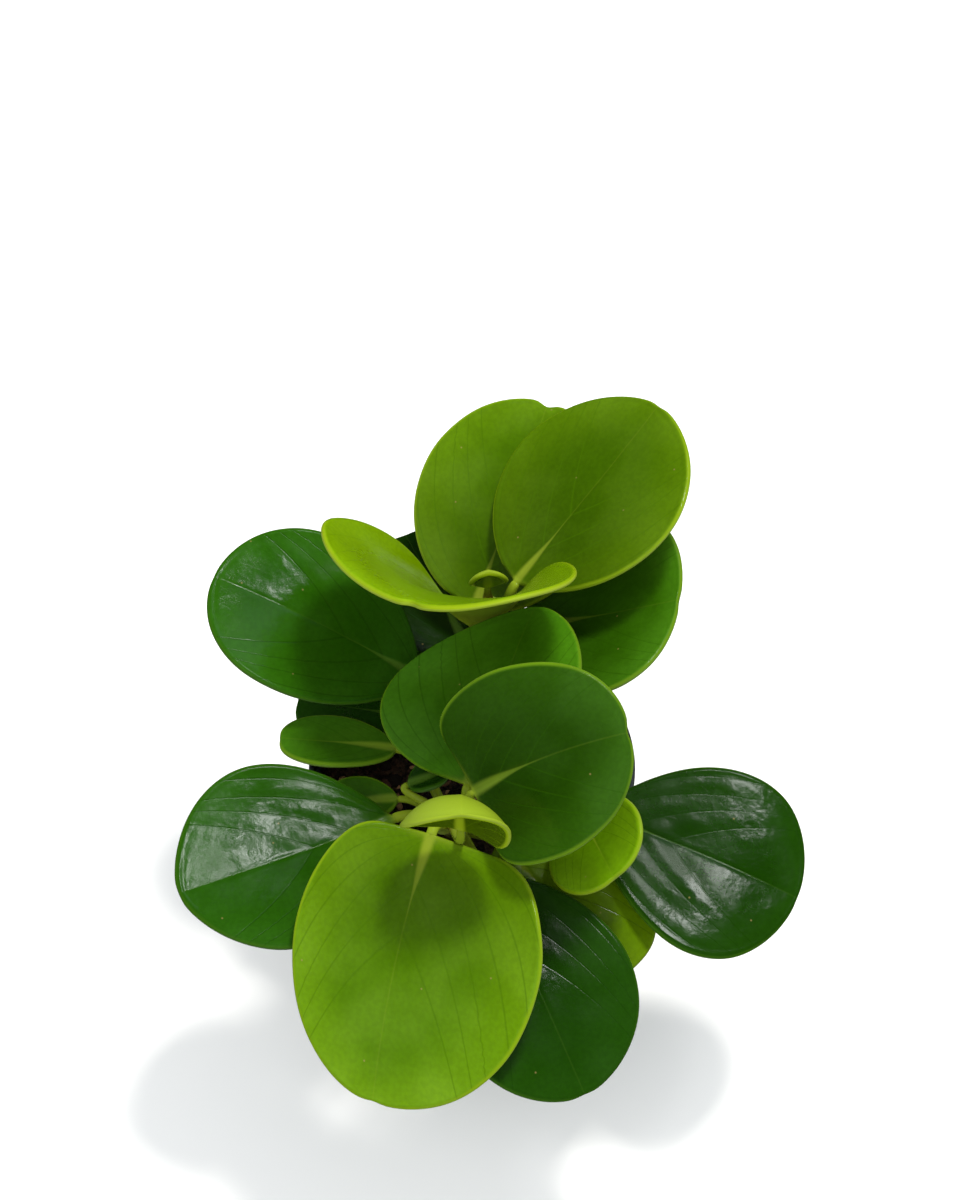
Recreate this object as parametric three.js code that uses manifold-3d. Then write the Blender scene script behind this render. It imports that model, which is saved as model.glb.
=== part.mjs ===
// A peperomia with broad fleshy leaves in a plain plastic nursery pot.
// Units are millimetres and degrees, +Z is up, and the origin is the middle of the pot's base.
// The plant is three stems rooted in the soil. Every leaf is one blade grown on its own stalk.

import * as THREE from "three";
import { mergeVertices } from "three/addons/utils/BufferGeometryUtils.js";
import Module from "manifold-3d";

const wasm = await Module();
wasm.setup();

// ---------- driving dimensions ----------

const CLEARANCE = 0.3;

const POT = {
  height: 92,
  rimRadius: 52.5,
  rimBand: 9,
  rimStep: 1.6,
  baseRadius: 38,
  baseRound: 2,
  wall: 1.6,
  sides: 44,
  drainHoles: 6,
  drainRadius: 4,
  drainCircle: 24,
  drainSides: 16,
  color: 0x23282b,
  roughness: 0.5,
};

const SOIL = {
  top: 83,
  bumps: 1.1,
  smoothEdge: 1,
  rings: 5,
  sides: 32,
  seed: 11,
  color: 0x2a1d15,
  roughness: 0.95,
};

const STEM_SHAPE = { steps: 14, sides: 10, nodeSwell: 0.7, nodeReach: 5, color: 0x7f9a35, roughness: 0.45 };

// A rod ends in a low dome, this share of its radius high.
const ROD_DOME = 0.5;

// Each route runs from inside the soil up to the growing tip.
const STEMS = [
  {
    stem: "back", radius: 4.2, tipRadius: 2.8,
    route: [[3, 34, 60], [4, 36, 85], [5, 39, 108], [6, 42, 123]],
  },
  {
    stem: "front", radius: 4.2, tipRadius: 2.6,
    route: [[-4, -16, 60], [-5, -21, 85], [-6, -29, 104], [-6, -37, 118]],
  },
  {
    stem: "right", radius: 3.6, tipRadius: 2.6,
    route: [[22, -4, 60], [23, -8, 80], [25, -15, 95], [26, -21, 106]],
  },
];

// A blade shorter than fullLength has fewer rows of points, down to the share fewestRows.
const BLADE = {
  thickness: 1.7,
  edgeRound: 8,
  rows: 11,
  fewestRows: 0.6,
  columns: 7,
  midribSlices: 24,
  fullLength: 70,
  roughness: 0.35,
};

// The smallest leaf's stalk has the share thinnest of these radii.
const STALK = {
  sides: 7,
  steps: 6,
  stemRadius: 2.3,
  bladeRadius: 1.6,
  ribRadius: 0.9,
  ribReach: 0.22,
  ribDrop: 0.5,
  ribSteps: 3,
  thinnest: 0.55,
};
const STALK_CURVE = { out: 0.45, rise: 0.2, arrive: 0.3 };

// A leaf's stalk leaves its stem at the height "from" and meets the blade at "seat".
// heading and pitch aim the blade's midrib there. bend is how much the pitch changes by the tip,
// late for a curl above 1. roll turns the blade about its midrib, and twist adds to it by the tip.
// cup is the angle that each side curls up through at the base and at the tip, and an ease above 1
// opens the base's curl out sooner. wedge narrows the base and blunt narrows the tip.
// skew makes one side wider, sway moves the bottom of the cup to one side by the tip, and shear
// slides one side towards the tip and the other towards the base.
const LEAVES = [
  {
    name: "leaf_crown_right", stem: "back", from: 117, seat: [14, 41, 133], tone: "bright",
    heading: 45, pitch: 24, bend: 6, roll: -19, cup: [11, 0], length: 73, width: 75,
    wedge: 0.24, blunt: 1.15,
  },
  {
    name: "leaf_crown_back", stem: "back", from: 105, seat: [1, 46, 113], tone: "bright",
    heading: 68, pitch: 25, bend: 4, roll: -3, cup: [24, 12], length: 73, width: 65, wedge: 0, blunt: 0.95,
  },
  {
    name: "leaf_crown_front", stem: "back", from: 109, seat: [-0.5, 39, 116], tone: "lime",
    heading: -140, pitch: 60, bend: -29, roll: 22, cup: [200, 32], length: 73, width: 94,
    wedge: 0.47, blunt: 0.77, skew: 0.03, sway: 22, twist: -9, curl: 3, shear: -0.1, ease: 3,
  },
  {
    name: "leaf_crown_bud", stem: "back", from: 120, seat: [5, 44, 127], tone: "lime",
    heading: 95, pitch: 80, bend: 60, roll: 0, cup: [50, 60], length: 15, width: 14, wedge: 0.2, blunt: 0.9,
  },
  {
    name: "leaf_mid_right", stem: "back", from: 102, seat: [22, 36, 117], tone: "mid",
    heading: -13, pitch: 28, bend: -1, roll: 3, cup: [7, 20], length: 49, width: 66,
    wedge: 0.3, blunt: 0.82, sway: 3,
  },
  {
    name: "leaf_low_left", stem: "back", from: 92, seat: [-17, 26, 101], tone: "dark",
    heading: 163, pitch: 31, bend: -17, roll: -7, cup: [17, 15], length: 75, width: 59,
    wedge: 0.5, blunt: 1.05,
  },
  {
    name: "leaf_low_back", stem: "back", from: 92, seat: [-2, 43, 96], tone: "dark",
    heading: 116, pitch: 8, bend: -6, roll: 0, cup: [12, 8], length: 49, width: 57, wedge: -0.2, blunt: 1,
  },
  {
    name: "leaf_under_left", stem: "back", from: 86, seat: [-14, 16, 92], tone: "dark",
    heading: 172, pitch: 4, bend: -2, roll: 0, cup: [12, 8], length: 44, width: 38, wedge: 0.1, blunt: 1,
  },
  {
    name: "leaf_inner_back", stem: "front", from: 110, seat: [-1, -30, 126], tone: "mid",
    heading: 71, pitch: 19, bend: -27, roll: -25, cup: [14, -2], length: 67, width: 68,
    wedge: -0.07, blunt: 1.29, skew: 0.2,
  },
  {
    name: "leaf_inner_right", stem: "front", from: 112, seat: [1, -39, 137], tone: "mid",
    heading: 4, pitch: 47, bend: -31, roll: 31, cup: [28, 4], length: 53, width: 58,
    wedge: -0.45, blunt: 0.85,
  },
  {
    name: "leaf_front", stem: "front", from: 107, seat: [-12, -46, 124], tone: "bright",
    heading: -109, pitch: -18, bend: -6, roll: -5, cup: [25, 8], length: 79, width: 75,
    wedge: -0.25, blunt: 0.98, skew: 0.16, sway: 8,
  },
  {
    name: "leaf_hood", stem: "front", from: 116, seat: [-3, -50, 134], tone: "lime",
    heading: 92, pitch: 74, bend: 91, roll: -22, cup: [78, 69], length: 37, width: 40,
    wedge: -0.3, blunt: 0.7, twist: 20, curl: 1.2,
  },
  {
    name: "leaf_left", stem: "front", from: 97, seat: [-24, -27, 102], tone: "dark",
    heading: -153, pitch: 5, bend: 6, roll: -8, cup: [22, 17], length: 72, width: 63,
    wedge: 0.6, blunt: 1.35,
  },
  {
    name: "leaf_low_front", stem: "front", from: 97, seat: [3, -48, 106], tone: "dark",
    heading: -65, pitch: -6, bend: -17, roll: -5, cup: [19, 7], length: 74, width: 59,
    wedge: 0.53, blunt: 1.15,
  },
  {
    name: "leaf_under_right", stem: "front", from: 89, seat: [8, -33, 97], tone: "olive",
    heading: -48, pitch: -1, bend: -20, roll: 0, cup: [16, 8], length: 57, width: 47,
    wedge: 0.3, blunt: 0.6,
  },
  {
    name: "leaf_small_left", stem: "front", from: 90, seat: [-24, 1, 98], tone: "mid",
    heading: 180, pitch: 11, bend: -4, roll: 6, cup: [27, 8], length: 38, width: 21,
    wedge: 0.16, blunt: 0.9,
  },
  {
    name: "leaf_shoot_left", stem: "front", from: 92, seat: [-23, -17, 97], tone: "mid",
    heading: 184, pitch: 0, bend: 0, roll: 0, cup: [20, 10], length: 24, width: 18, wedge: 0.3, blunt: 1,
  },
  {
    name: "leaf_shoot_back", stem: "front", from: 103, seat: [-20, -18, 107], tone: "dark",
    heading: 10, pitch: 20, bend: 0, roll: 0, cup: [50, 40], length: 14, width: 12, wedge: 0.2, blunt: 1,
  },
  {
    name: "leaf_right", stem: "right", from: 94, seat: [37, -25, 102], tone: "dark",
    heading: -22, pitch: 1, bend: -17, roll: 9, cup: [8, 0], length: 69, width: 62, wedge: 0.7, blunt: 1.05,
  },
  {
    name: "leaf_small_right", stem: "right", from: 102, seat: [32, -25, 108], tone: "bright",
    heading: -72, pitch: 18, bend: -2, roll: 33, cup: [22, 19], length: 36, width: 34,
    wedge: 0.3, blunt: 0.8,
  },
];

const TONES = {
  lime: 0x8fae2a,
  bright: 0x5a8c05,
  mid: 0x3a6a10,
  olive: 0x4a6200,
  dark: 0x1f4a08,
};

// ---------- solids ----------

// Joins the shared corners of a closed geometry and makes it a solid.
function toSolid(geometry) {
  const bare = geometry.clone();
  bare.deleteAttribute("normal");
  bare.deleteAttribute("uv");
  const merged = mergeVertices(bare, 1e-4);
  const corners = merged.index.array;
  const kept = [];
  for (let i = 0; i < corners.length; i += 3) {
    const [a, b, c] = corners.slice(i, i + 3);
    if (a !== b && b !== c && c !== a) kept.push(a, b, c);
  }
  return new wasm.Manifold(new wasm.Mesh({
    numProp: 3,
    vertProperties: new Float32Array(merged.attributes.position.array),
    triVerts: new Uint32Array(kept),
  }));
}

function toMesh(name, solid, color, roughness) {
  const { vertProperties, triVerts } = solid.getMesh();
  const geometry = new THREE.BufferGeometry();
  geometry.setAttribute("position", new THREE.BufferAttribute(vertProperties, 3));
  geometry.setIndex(new THREE.BufferAttribute(triVerts, 1));
  geometry.computeVertexNormals();
  const material = new THREE.MeshStandardMaterial({ color, roughness, metalness: 0 });
  const mesh = new THREE.Mesh(geometry, material);
  mesh.name = name;
  return mesh;
}

// Skins a row of rings, all with the same number of points, and closes each end on one point.
// The second half of each ring is split the other way, so both faces of a blade are split alike.
function loft(first, rings, last) {
  const count = rings[0].length;
  const points = [first, ...rings.flat(), last];
  const end = points.length - 1;
  const faces = [];
  const at = (ring, k) => 1 + ring * count + (k % count);
  for (let k = 0; k < count; k++) {
    faces.push(0, at(0, k + 1), at(0, k));
    for (let ring = 0; ring < rings.length - 1; ring++) {
      const a = at(ring, k);
      const b = at(ring, k + 1);
      const c = at(ring + 1, k + 1);
      const d = at(ring + 1, k);
      if (k < count / 2) faces.push(a, b, c, a, c, d);
      else faces.push(a, b, d, b, c, d);
    }
    faces.push(end, at(rings.length - 1, k), at(rings.length - 1, k + 1));
  }
  const geometry = new THREE.BufferGeometry().setFromPoints(points);
  geometry.setIndex(faces);
  return geometry;
}

// A round rod along a curve, whose radius changes along it.
function rod(curve, steps, sides, radiusAt) {
  const frames = curve.computeFrenetFrames(steps);
  const rings = [];
  for (let i = 0; i <= steps; i++) {
    const middle = curve.getPointAt(i / steps);
    const radius = radiusAt(i / steps, middle);
    const ring = [];
    for (let k = 0; k < sides; k++) {
      const turn = (k / sides) * 2 * Math.PI;
      const side = frames.normals[i].clone().multiplyScalar(Math.cos(turn) * radius);
      side.addScaledVector(frames.binormals[i], Math.sin(turn) * radius);
      ring.push(side.add(middle));
    }
    rings.push(ring);
  }
  const first = curve.getPointAt(0);
  first.addScaledVector(frames.tangents[0], -ROD_DOME * radiusAt(0, first));
  const last = curve.getPointAt(1);
  last.addScaledVector(frames.tangents[steps], ROD_DOME * radiusAt(1, last));
  return loft(first, rings, last);
}

const vector = ([x, y, z]) => new THREE.Vector3(x, y, z);
const radians = THREE.MathUtils.degToRad;
const lerp = THREE.MathUtils.lerp;

// ---------- stems ----------

const stemCurves = new Map(
  STEMS.map(({ stem, route }) => [stem, new THREE.CatmullRomCurve3(route.map(vector))]),
);

// The stem climbs all the way, so halving the step finds the point at a height.
function stemPoint(stem, height) {
  const curve = stemCurves.get(stem);
  let share = 0;
  for (let step = 0.5; step > 1e-6; step /= 2) {
    if (curve.getPoint(share + step).z < height) share += step;
  }
  return curve.getPoint(share);
}

// A stem swells a little where each leaf joins it. extra makes it fatter, to cut its clearance.
function stemSolid({ stem, radius, tipRadius }, extra = 0) {
  const joints = LEAVES.filter((leaf) => leaf.stem === stem).map((leaf) => leaf.from);
  const radiusAt = (along, point) => {
    const near = Math.min(...joints.map((height) => Math.abs(point.z - height)));
    const swell = STEM_SHAPE.nodeSwell * Math.exp(-((near / STEM_SHAPE.nodeReach) ** 2));
    return lerp(radius, tipRadius, along) + swell + extra;
  };
  return toSolid(rod(stemCurves.get(stem), STEM_SHAPE.steps, STEM_SHAPE.sides, radiusAt));
}

const stems = STEMS.map((stem) => ({
  name: `stem_${stem.stem}`,
  solid: stemSolid(stem),
  hole: stemSolid(stem, CLEARANCE),
}));

const stemHoles = stems.map(({ hole }) => hole).reduce((all, hole) => all.add(hole));

// ---------- leaves ----------

// Gives the blade's frame on the midrib, at the share u of its length.
function midribFrame(leaf, u) {
  const heading = radians(leaf.heading);
  const ahead = new THREE.Vector3(Math.cos(heading), Math.sin(heading), 0);
  const up = new THREE.Vector3(0, 0, 1);
  const pitchAt = (share) => radians(leaf.pitch + leaf.bend * Math.max(0, share) ** (leaf.curl ?? 1));
  const point = vector(leaf.seat);
  const slices = BLADE.midribSlices;
  for (let i = 0; i < slices; i++) {
    const pitch = pitchAt(((i + 0.5) / slices) * u);
    const length = (leaf.length * u) / slices;
    point.addScaledVector(ahead, Math.cos(pitch) * length).addScaledVector(up, Math.sin(pitch) * length);
  }
  const pitch = pitchAt(u);
  const level = new THREE.Vector3(-Math.sin(heading), Math.cos(heading), 0);
  const face = up.clone().multiplyScalar(Math.cos(pitch)).addScaledVector(ahead, -Math.sin(pitch));
  const roll = radians(leaf.roll + (leaf.twist ?? 0) * u);
  const side = level.clone().multiplyScalar(Math.cos(roll)).addScaledVector(face, Math.sin(roll));
  const normal = face.clone().multiplyScalar(Math.cos(roll)).addScaledVector(level, -Math.sin(roll));
  return { point, side, normal };
}

// A point of the blade: u runs from its base to its tip, across is millimetres to the side on the
// flat blade, and lift is how far it stands off the middle of the blade's thickness.
function bladePoint(leaf, frame, u, across, lift) {
  const [cupBase, cupTip] = leaf.cup;
  const cup = lerp(cupTip, cupBase, (1 - u) ** (leaf.ease ?? 1));
  const curve = radians(cup) / (leaf.width / 2) + 1e-6;
  const angle = curve * (across + (leaf.sway ?? 0) * u * u);
  const point = frame.point.clone();
  point.addScaledVector(frame.side, Math.sin(angle) * (1 / curve - lift));
  point.addScaledVector(frame.normal, (1 - Math.cos(angle)) / curve + Math.cos(angle) * lift);
  return point;
}

// The blade's half width at the angle a, which runs from 0 at its base to a right angle at its tip.
function halfWidth(leaf, a) {
  const rise = 1 + leaf.wedge;
  const fall = leaf.blunt;
  const sum = rise + fall;
  const peak = (rise / sum) ** (rise / 2) * (fall / sum) ** (fall / 2);
  return ((leaf.width / 2) * Math.sin(a) ** rise * Math.cos(a) ** fall) / peak;
}

// The two faces of the blade are one ring of points for each row, and meet in its rounded edge.
function bladeSolid(leaf) {
  const size = Math.min(1, leaf.length / BLADE.fullLength);
  const rows = Math.round(BLADE.rows * lerp(BLADE.fewestRows, 1, size));
  const half = BLADE.columns;
  const rings = [];
  for (let i = 1; i < rows; i++) {
    const a = (i / rows) * (Math.PI / 2);
    const u = Math.sin(a) ** 2;
    const ring = [];
    for (let k = 0; k < 2 * half; k++) {
      const v = -Math.cos((k / half) * Math.PI);
      const across = v * halfWidth(leaf, a) * (1 + Math.sign(v) * (leaf.skew ?? 0));
      const lift = (BLADE.thickness / 2) * Math.sqrt(1 - v ** BLADE.edgeRound) * (k < half ? -1 : 1);
      const slide = (leaf.shear ?? 0) * across * Math.sqrt(Math.sin(Math.PI * u));
      const here = u + slide / leaf.length;
      ring.push(bladePoint(leaf, midribFrame(leaf, here), here, across, lift));
    }
    rings.push(ring);
  }
  const tip = bladePoint(leaf, midribFrame(leaf, 1), 1, 0, 0);
  return toSolid(loft(vector(leaf.seat), rings, tip));
}

// The stalk leaves the stem sideways, comes up to the blade from below and runs out under its midrib.
function stalkSolid(leaf) {
  const start = stemPoint(leaf.stem, leaf.from);
  const seat = vector(leaf.seat);
  const reach = start.distanceTo(seat);
  const outward = seat.clone().sub(start).setZ(0).normalize();
  const heading = radians(leaf.heading);
  const pitch = radians(leaf.pitch);
  const along = new THREE.Vector3(
    Math.cos(heading) * Math.cos(pitch),
    Math.sin(heading) * Math.cos(pitch),
    Math.sin(pitch),
  );
  const leave = start.clone().addScaledVector(outward, STALK_CURVE.out * reach);
  leave.z += STALK_CURVE.rise * reach;
  const arrive = seat.clone().addScaledVector(along, -STALK_CURVE.arrive * reach);
  const points = new THREE.CubicBezierCurve3(start, leave, arrive, seat).getPoints(STALK.steps);
  for (const share of [0.5, 1]) {
    const u = STALK.ribReach * share;
    const { point, normal } = midribFrame(leaf, u);
    points.push(point.addScaledVector(normal, -STALK.ribDrop));
  }
  const curve = new THREE.CatmullRomCurve3(points);
  const seatAt = reach / (reach + STALK.ribReach * leaf.length);
  const size = Math.min(1, lerp(STALK.thinnest, 1, leaf.length / BLADE.fullLength));
  const radiusAt = (t) => {
    if (t < seatAt) return size * lerp(STALK.stemRadius, STALK.bladeRadius, t / seatAt);
    return size * lerp(STALK.bladeRadius, STALK.ribRadius, (t - seatAt) / (1 - seatAt));
  };
  return toSolid(rod(curve, STALK.steps + STALK.ribSteps, STALK.sides, radiusAt));
}

const leafMeshes = LEAVES.map((leaf) => {
  const solid = bladeSolid(leaf).add(stalkSolid(leaf)).subtract(stemHoles);
  return toMesh(leaf.name, solid, TONES[leaf.tone], BLADE.roughness);
});

// ---------- pot and soil ----------

const bodyTopRadius = POT.rimRadius - POT.rimStep;
const bandFoot = POT.height - POT.rimBand;

// The pot's outer radius below its rim band.
const potRadius = (height) => lerp(POT.baseRadius, bodyTopRadius, height / bandFoot);

function lathe(profile, sides) {
  return new THREE.LatheGeometry(profile.map(([radius, z]) => new THREE.Vector2(radius, z)), sides)
    .rotateX(Math.PI / 2);
}

function potSolid() {
  const inside = (height) => potRadius(height) - POT.wall;
  const roundCut = POT.baseRound * (1 - Math.SQRT1_2);
  const profile = [
    [0, 0],
    [POT.baseRadius - POT.baseRound, 0],
    [POT.baseRadius - roundCut, roundCut],
    [potRadius(POT.baseRound), POT.baseRound],
    [bodyTopRadius, bandFoot],
    [POT.rimRadius, bandFoot],
    [POT.rimRadius, POT.height],
    [POT.rimRadius - POT.wall, POT.height],
    [POT.rimRadius - POT.wall, bandFoot + POT.wall],
    [bodyTopRadius - POT.wall, bandFoot + POT.wall],
    [bodyTopRadius - POT.wall, bandFoot],
    [inside(POT.wall), POT.wall],
    [0, POT.wall],
  ];
  let pot = toSolid(lathe(profile, POT.sides));
  for (let i = 0; i < POT.drainHoles; i++) {
    const turn = (i / POT.drainHoles) * 2 * Math.PI;
    const reach = 4 * POT.wall;
    const drill = new THREE.CylinderGeometry(POT.drainRadius, POT.drainRadius, reach, POT.drainSides);
    drill.rotateX(Math.PI / 2);
    drill.translate(POT.drainCircle * Math.cos(turn), POT.drainCircle * Math.sin(turn), 0);
    pot = pot.subtract(toSolid(drill));
  }
  return pot;
}

// A repeatable row of random numbers from 0 to 1.
function seededRandom(seed) {
  const multiplier = 16807;
  const modulus = 2 ** 31 - 1;
  let state = seed;
  return () => {
    state = (state * multiplier) % modulus;
    return state / modulus;
  };
}

// The soil fills the pot to just below its rim. Its top is rough, and each stem stands in a hole.
function soilSolid() {
  const floor = POT.wall + CLEARANCE;
  const edge = bodyTopRadius - POT.wall - CLEARANCE;
  const profile = [
    [0, floor],
    [potRadius(floor) - POT.wall - CLEARANCE, floor],
    [edge, SOIL.top],
  ];
  for (let ring = 1; ring <= SOIL.rings; ring++) {
    profile.push([edge * (1 - ring / SOIL.rings), SOIL.top]);
  }
  const smooth = toSolid(lathe(profile, SOIL.sides));
  const random = seededRandom(SOIL.seed);
  const rough = smooth.warp((point) => {
    const inside = Math.hypot(point[0], point[1]) < edge - SOIL.smoothEdge;
    if (inside && point[2] > SOIL.top - CLEARANCE) point[2] += (random() * 2 - 1) * SOIL.bumps;
  });
  return rough.subtract(stemHoles);
}

// ---------- the plant in its pot ----------

const plant = new THREE.Group();
plant.add(toMesh("pot", potSolid(), POT.color, POT.roughness));
plant.add(toMesh("soil", soilSolid(), SOIL.color, SOIL.roughness));
for (const { name, solid } of stems) {
  plant.add(toMesh(name, solid, STEM_SHAPE.color, STEM_SHAPE.roughness));
}
plant.add(...leafMeshes);

export default plant;
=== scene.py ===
# %% [markdown]
# # A peperomia in its nursery pot
# This notebook dresses one house plant: a dark plastic pot, moist potting mix, three fleshy stems and
# twenty thick glossy leaves. The plain solids were made first, and they are loaded here as a frame
# that stays where it is. Each piece made below takes the place of one solid and gives it the detail
# that a real plant has. Lengths are in millimetres while a piece is shaped, and metres once it is made.

# %% Load the plain solids
import math
import random
from dataclasses import dataclass

import bpy
from mathutils import Matrix, Vector, noise


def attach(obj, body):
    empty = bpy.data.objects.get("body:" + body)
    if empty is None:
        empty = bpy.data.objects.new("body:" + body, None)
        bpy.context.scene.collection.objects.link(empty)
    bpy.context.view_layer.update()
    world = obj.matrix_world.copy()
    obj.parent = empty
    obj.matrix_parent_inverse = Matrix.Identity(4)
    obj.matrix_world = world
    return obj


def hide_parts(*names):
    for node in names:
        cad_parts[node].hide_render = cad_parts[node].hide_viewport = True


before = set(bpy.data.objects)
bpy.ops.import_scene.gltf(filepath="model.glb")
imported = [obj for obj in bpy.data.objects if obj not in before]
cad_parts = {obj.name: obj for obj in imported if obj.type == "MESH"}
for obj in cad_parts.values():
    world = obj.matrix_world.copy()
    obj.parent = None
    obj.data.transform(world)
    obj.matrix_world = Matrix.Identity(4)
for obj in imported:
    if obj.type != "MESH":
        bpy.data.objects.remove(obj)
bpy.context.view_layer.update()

MM = 0.001
print("solids loaded:", len(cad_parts))

# %% [markdown]
# ## Camera
# The plant is seen from the front and from well above, 53 degrees over the horizon, from 0.78 m away.
# A 65 mm lens keeps the near leaves only a little larger than the far ones, as a portrait lens does.

# %% Set the camera
camera_data = bpy.data.cameras.new("camera")
camera_data.lens = 65
camera = bpy.data.objects.new("camera", camera_data)
camera.location = (0.00257, -0.37476, 0.68198)
camera.rotation_euler = (math.radians(90 - 53.3), 0, 0)
bpy.context.scene.collection.objects.link(camera)
bpy.context.scene.camera = camera
print("camera:", camera_data.lens, "mm lens")

# %% [markdown]
# ## Light
# The leaves are glossy, so what they mirror matters as much as what lights them, and the two jobs go to
# different lamps. The key lamp, high up behind the plant on the right, and the wide fill lamp in front
# light the greens, and the key lets each leaf throw a soft shadow on the one below. Those two, the pale
# room and the floor are kept out of the mirrored light, as a polarising filter does in a studio, because
# white mirrored in every leaf would wash the greens out. Two small weak lamps give the white glints on
# the flat old leaves, and a cool panel gives the bluish haze around the glints.

# %% Place the lamps
SCENE_MIDDLE = Vector((0, 0, 0.1))


def lamp(name, turn, height, distance, size, power, colour=(1, 1, 1)):
    """A square soft lamp that faces the plant. turn is degrees from +Y towards +X."""
    data = bpy.data.lights.new(name, "AREA")
    data.shape = "SQUARE"
    data.size = size
    data.energy = power
    data.color = colour
    made = bpy.data.objects.new(name, data)
    turn, height = math.radians(turn), math.radians(height)
    level = Vector((math.sin(turn), math.cos(turn), 0))
    towards = level * math.cos(height) + Vector((0, 0, math.sin(height)))
    made.location = SCENE_MIDDLE + towards * distance
    made.rotation_euler = towards.to_track_quat("Z", "Y").to_euler()
    bpy.context.scene.collection.objects.link(made)
    return made


key = lamp("key_lamp", turn=42, height=73, distance=1.3, size=0.2, power=16, colour=(1, 0.97, 0.9))
fill = lamp("fill_lamp", turn=200, height=50, distance=1.9, size=1.5, power=18)
for plain in (key, fill):
    plain.visible_glossy = False
lamp("window_lamp", turn=66, height=66, distance=1.3, size=0.13, power=0.95)
lamp("sparkle_lamp", turn=40, height=69, distance=1.3, size=0.1, power=0.7)
lamp("cool_panel", turn=38, height=50, distance=1.6, size=0.5, power=0.45, colour=(0.8, 0.92, 1))
world = bpy.data.worlds.new("pale_room")
bpy.context.scene.world = world
world.use_nodes = True
background = world.node_tree.nodes["Background"]
background.inputs["Color"].default_value = (0.95, 0.98, 1, 1)
background.inputs["Strength"].default_value = 0.78
world.cycles_visibility.glossy = False
bpy.context.scene.view_settings.view_transform = "Standard"

# %% [markdown]
# ## Helpers for finishes
# Colours are written as the hex values that a paint chart shows, and one function turns them into
# the linear values that the renderer works with. One more function adds a node with its settings and
# links, and the part of it that fills in the sockets also serves the shader that a material starts
# with. Every leaf carries its flat outline as a map in metres, so a pattern's scale follows from a real
# size: a pattern with a repeat of 10 mm needs the scale 1 / 0.010.

# %% Colour and node helpers
def linear(hex_colour):
    parts = [int(hex_colour[i:i + 2], 16) / 255 for i in (1, 3, 5)]
    return [*(c / 12.92 if c <= 0.04045 else ((c + 0.055) / 1.055) ** 2.4 for c in parts), 1]


def plug(material, node, inputs):
    """inputs maps a socket's name or number to a value, or to an output that is linked to it."""
    for key, value in inputs.items():
        if isinstance(value, bpy.types.NodeSocket):
            material.node_tree.links.new(value, node.inputs[key])
        else:
            node.inputs[key].default_value = value


def add(material, kind, inputs=None, **settings):
    """Adds one node. kind is its type without the word ShaderNode, and inputs are plugged in."""
    made = material.node_tree.nodes.new("ShaderNode" + kind)
    for key, value in settings.items():
        setattr(made, key, value)
    plug(material, made, inputs or {})
    return made


def per(size_mm):
    """The scale that makes a pattern repeat about every size_mm."""
    return 1 / (size_mm * MM)


def new_material(name):
    made = bpy.data.materials.new(name)
    made.use_nodes = True
    return made, made.node_tree.nodes["Principled BSDF"]


print("mid green in linear light:", [round(c, 3) for c in linear("#3A6A10")])

# %% [markdown]
# ## The stems
# Three stems climb out of the mix. Each runs along a smooth curve through a few marks and thins
# towards its growing tip. Where a leaf joins, a fleshy stem swells into a joint with a corky ring
# just under it. A stem could be a curve with a bevel, but a skin of rings lets every joint have its
# own swelling, so the stems are made as rings that are skinned with quads.

# %% Stem routes
HALVINGS = 24


@dataclass
class Stem:
    radius: float
    tip_radius: float
    route: list


STEMS = {
    "back": Stem(4.2, 2.8, [(3, 34, 60), (4, 36, 85), (5, 39, 108), (6, 42, 123)]),
    "front": Stem(4.2, 2.6, [(-4, -16, 60), (-5, -21, 85), (-6, -29, 104), (-6, -37, 118)]),
    "right": Stem(3.6, 2.6, [(22, -4, 60), (23, -8, 80), (25, -15, 95), (26, -21, 106)]),
}


def mix(a, b, share):
    return a + (b - a) * share


def smooth_step(x, low, high):
    x = min(1, max(0, (x - low) / (high - low)))
    return x * x * (3 - 2 * x)


def bell(x, spread):
    """1 where x is 0, and soon nothing beyond the spread."""
    return math.exp(-((x / spread) ** 2))


def circle(radius, height, sides, middle=Vector((0, 0, 0))):
    """The points of a level ring."""
    turns = [2 * math.pi * k / sides for k in range(sides)]
    return [middle + Vector((radius * math.cos(turn), radius * math.sin(turn), height)) for turn in turns]


def curve_point(marks, t):
    """A point of the smooth curve through the marks. t counts marks."""
    marks = [Vector(mark) for mark in marks]
    i = min(int(t), len(marks) - 2)
    t -= i
    before = marks[i - 1] if i > 0 else 2 * marks[0] - marks[1]
    after = marks[i + 2] if i + 2 < len(marks) else 2 * marks[-1] - marks[-2]
    a, b = marks[i], marks[i + 1]
    gap_before, gap, gap_after = (run.length ** 0.5 for run in (a - before, b - a, after - b))
    leave = ((a - before) / gap_before - (b - before) / (gap_before + gap) + (b - a) / gap) * gap
    arrive = ((b - a) / gap - (after - a) / (gap + gap_after) + (after - b) / gap_after) * gap
    square, cube = 3 * (b - a) - 2 * leave - arrive, 2 * (a - b) + leave + arrive
    return a + leave * t + square * t ** 2 + cube * t ** 3


def stem_point(stem, height):
    """The middle of the stem at a height. The stem climbs all the way, so halving finds it."""
    low, high = 0, len(STEMS[stem].route) - 1
    for _ in range(HALVINGS):
        middle = (low + high) / 2
        if curve_point(STEMS[stem].route, middle).z < height:
            low = middle
        else:
            high = middle
    return curve_point(STEMS[stem].route, low)


def stem_radius(stem, height):
    low, high = STEMS[stem].route[0][2], STEMS[stem].route[-1][2]
    return mix(STEMS[stem].radius, STEMS[stem].tip_radius, (height - low) / (high - low))


print("front stem at 100 mm:", [round(c, 1) for c in stem_point("front", 100)])

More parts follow.
